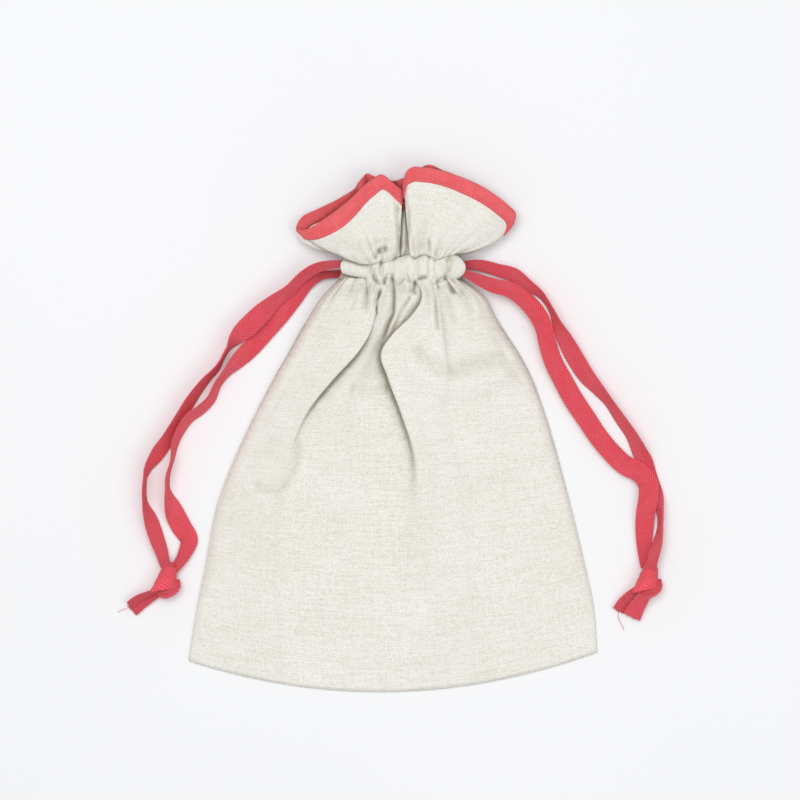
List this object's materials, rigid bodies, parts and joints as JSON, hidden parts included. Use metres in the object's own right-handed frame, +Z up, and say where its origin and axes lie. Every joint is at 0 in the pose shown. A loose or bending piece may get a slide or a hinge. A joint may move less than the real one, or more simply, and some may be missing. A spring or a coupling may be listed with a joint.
{
  "type": "drawstring gift pouch",
  "caption": "Flat linen gift pouch with a gathered neck, a bound ruffled mouth and two knotted twill tape drawstrings that pull out to either side.",
  "frame": {"origin": "middle of the pouch on the table, under its own length and width and without its drawstrings", "axes": "+Y from the hem towards the mouth, +X to the right as seen from the front, +Z up off the table, out of the front cloth"},
  "size_m": [0.2692, 0.262, 0.019],
  "materials": {
    "linen": "plain weave linen and cotton, matt",
    "coral_binding": "fine cotton weave, matt",
    "coral_tape": "herringbone cotton twill, matt",
    "natural_thread": "spun sewing thread",
    "coral_thread": "spun sewing thread"
  },
  "bodies": {
    "pouch": {"front_panel": "linen", "back_panel": "linen", "front_casing": "linen", "back_casing": "linen", "left_side_seam": "natural_thread", "right_side_seam": "natural_thread", "bottom_seam": "natural_thread", "front_casing_upper_stitching": "natural_thread", "front_casing_lower_stitching": "natural_thread", "back_casing_upper_stitching": "natural_thread", "back_casing_lower_stitching": "natural_thread"},
    "ruffle": {"front_ruffle": "linen", "back_ruffle": "linen", "front_binding": "coral_binding", "back_binding": "coral_binding", "binding_stitching": "coral_thread", "left_ruffle_seam": "natural_thread", "right_ruffle_seam": "natural_thread"},
    "left_drawstring": {"left_tape_run": "coral_tape", "left_front_strand": "coral_tape", "left_back_strand": "coral_tape", "left_knot": "coral_tape", "left_front_tail": "coral_tape", "left_back_tail": "coral_tape"},
    "right_drawstring": {"right_tape_run": "coral_tape", "right_front_strand": "coral_tape", "right_back_strand": "coral_tape", "right_knot": "coral_tape", "right_front_tail": "coral_tape", "right_back_tail": "coral_tape"}
  },
  "joints": [
    {"name": "ruffle_fold", "type": "hinge", "parent": "pouch", "child": "ruffle", "pos_m": [0.005, 0.0865, 0.0133], "axis": [1, 0, 0], "range_deg": [0, 60]},
    {"name": "left_pull", "type": "slide", "parent": "pouch", "child": "left_drawstring", "axis": [-1, 0, 0], "range_m": [0, 0.01]},
    {"name": "right_pull", "type": "slide", "parent": "pouch", "child": "right_drawstring", "axis": [1, 0, 0], "range_m": [0, 0.01]}
  ]
}
